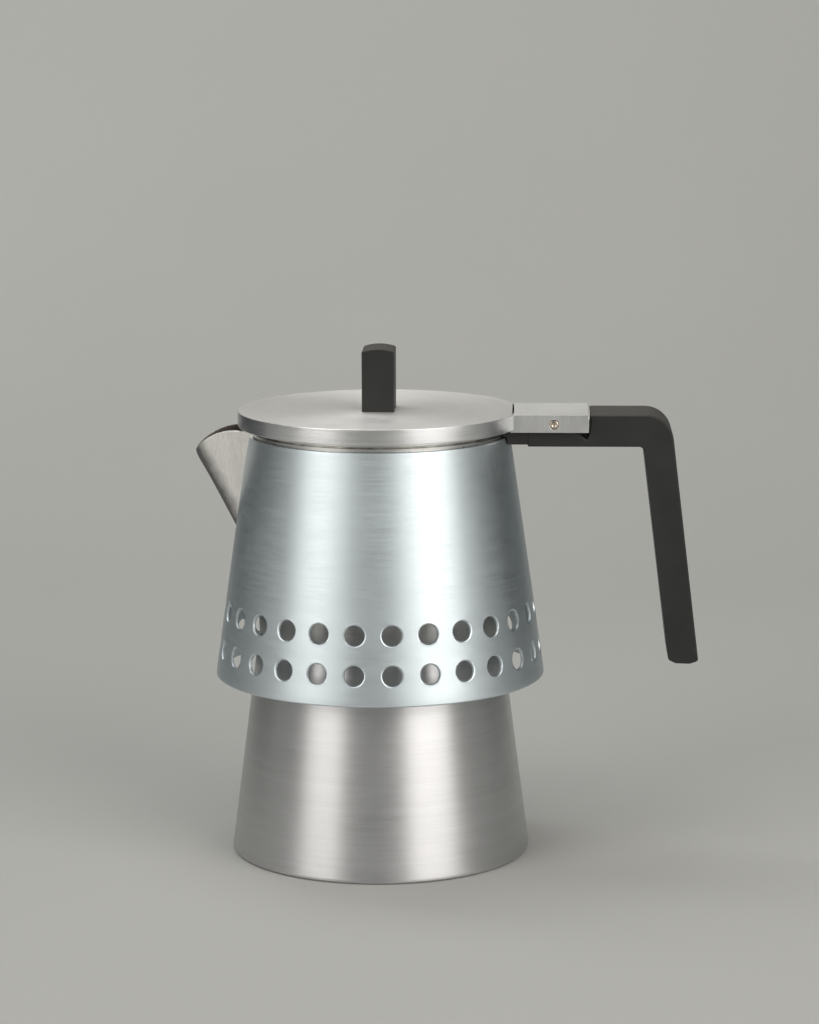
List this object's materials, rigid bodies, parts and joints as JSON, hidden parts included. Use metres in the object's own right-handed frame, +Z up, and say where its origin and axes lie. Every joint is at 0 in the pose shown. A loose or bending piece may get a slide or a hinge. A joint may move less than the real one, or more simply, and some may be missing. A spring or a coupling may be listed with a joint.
{
  "type": "moka pot",
  "caption": "Stovetop coffee maker: conical boiler, perforated conical skirt round the coffee vessel, sheet spout, thumb-lift lid and black bar handle.",
  "frame": {"origin": "centre of the boiler's flat underside, on the table", "axes": "+Z up along the pot's axis, +X towards the handle, -X towards the spout, +Y towards the safety valve"},
  "size_m": [0.175, 0.1148, 0.178],
  "materials": {
    "brushed_aluminium": "brushed round the axis",
    "satin_skirt": "satin anodised, fine turned grain",
    "spout_sheet": "brushed sheet",
    "turned_lid": "matte, fine turned rings",
    "bare_steel": "satin",
    "pin_steel": "warm, polished",
    "valve_brass": "turned",
    "black_bar": "satin black",
    "seal_rubber": "matte silicone"
  },
  "bodies": {
    "boiler": {"boiler": "brushed_aluminium", "valve_body": "valve_brass", "valve_retainer": "valve_brass", "valve_spring": "bare_steel"},
    "valve_poppet": {"valve_poppet": "bare_steel"},
    "funnel": {"funnel": "brushed_aluminium", "funnel_filter": "bare_steel"},
    "gasket": {"filter_gasket": "seal_rubber"},
    "filter": {"filter_plate": "bare_steel"},
    "collector": {"collector_vessel": "brushed_aluminium", "brew_column": "brushed_aluminium", "column_cap": "brushed_aluminium", "outer_skirt": "satin_skirt", "spout": "spout_sheet", "handle_bracket": "bare_steel", "handle": "black_bar", "handle_screw_1": "bare_steel", "handle_screw_2": "bare_steel"},
    "lid": {"lid_disc": "turned_lid", "lid_hinge_channel": "turned_lid", "hinge_pin": "pin_steel", "lid_knob": "black_bar", "knob_screw": "bare_steel", "knob_washer": "bare_steel"}
  },
  "joints": [
    {"name": "lift_off", "type": "slide", "parent": "boiler", "child": "gasket", "axis": [0, 0, 1], "range_m": [0, 0.17]},
    {"name": "thread_rise", "type": "slide", "parent": "gasket", "child": "filter", "axis": [0, 0, 1], "range_m": [0, 0.00751]},
    {"name": "unscrew", "type": "hinge", "parent": "filter", "child": "collector", "pos_m": [0, 0, 0.0846], "axis": [0, 0, 1], "range_deg": [0, 900]},
    {"name": "lid_hinge", "type": "hinge", "parent": "collector", "child": "lid", "pos_m": [0.0607, 0, 0.1528], "axis": [0, 1, 0], "range_deg": [0, 35]},
    {"name": "funnel_lift", "type": "slide", "parent": "boiler", "child": "funnel", "axis": [0, 0, 1], "range_m": [0, 0.0851]},
    {"name": "valve_lift", "type": "slide", "parent": "boiler", "child": "valve_poppet", "axis": [0, 1, 0], "range_m": [0, 0.0012], "stiffness_N_per_m": 800, "springref_m": -0.002, "deforming": ["valve_spring"]}
  ],
  "couplings": [
    {"joint": "thread_rise", "follows": "unscrew", "m_per_rad": 0.00047746},
    {"joint": "funnel_lift", "follows": "lift_off", "ratio": 0.5}
  ]
}
